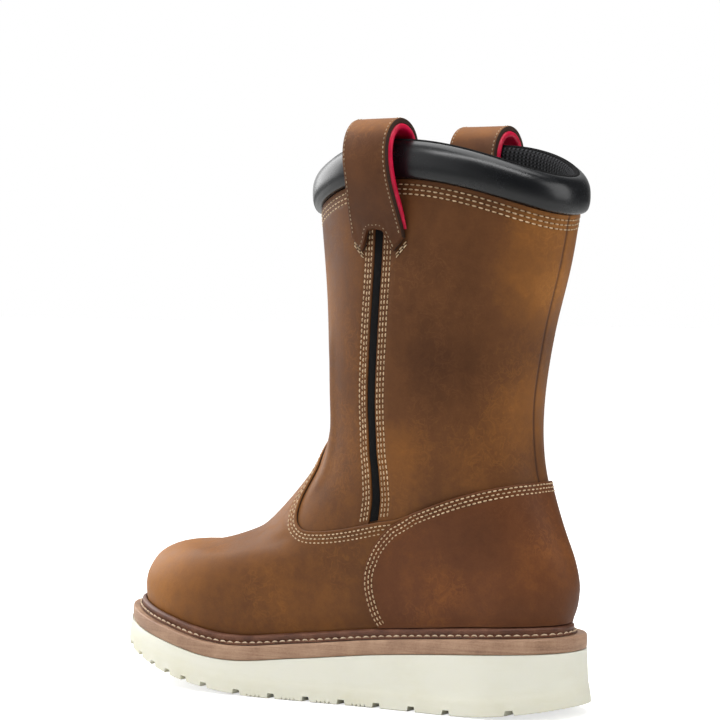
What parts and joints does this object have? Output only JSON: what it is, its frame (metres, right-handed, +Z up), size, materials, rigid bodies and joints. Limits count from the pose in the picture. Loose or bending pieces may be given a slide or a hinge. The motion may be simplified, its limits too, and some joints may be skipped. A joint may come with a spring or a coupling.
{
  "type": "pull-on work boot",
  "caption": "Tall pull-on work boot for the right foot: brown leather upper, padded black collar, leather pull loops, storm welt and a pale wedge sole.",
  "frame": {"origin": "on the floor, under the centre of the boot's bounding box", "axes": "+X to the toe, +Y to the inner (medial) side of the foot, +Z up"},
  "size_m": [0.3034, 0.1378, 0.3212],
  "materials": {
    "outsole": "matt ivory foam rubber",
    "midsole": "trimmed and stained edge",
    "storm_welt": "dark waxed edge",
    "insole": "black cloth",
    "upper": "oiled brown, mottled",
    "heel_counter": "oiled brown, mottled",
    "side_strip_medial": "black woven strip",
    "side_strip_lateral": "black woven strip",
    "collar": "smooth black, padded",
    "pull_strap_medial": "oiled brown",
    "pull_strap_lateral": "oiled brown",
    "strap_lining_medial": "smooth crimson",
    "strap_lining_lateral": "smooth crimson"
  },
  "bodies": {
    "root": {"outsole": "outsole", "midsole": "midsole", "storm_welt": "storm_welt", "insole": "insole", "upper": "upper", "heel_counter": "heel_counter", "side_strip_medial": "side_strip_medial", "side_strip_lateral": "side_strip_lateral", "collar": "collar", "pull_strap_medial": "pull_strap_medial", "pull_strap_lateral": "pull_strap_lateral", "strap_lining_medial": "strap_lining_medial", "strap_lining_lateral": "strap_lining_lateral"}
  },
  "joints": []
}
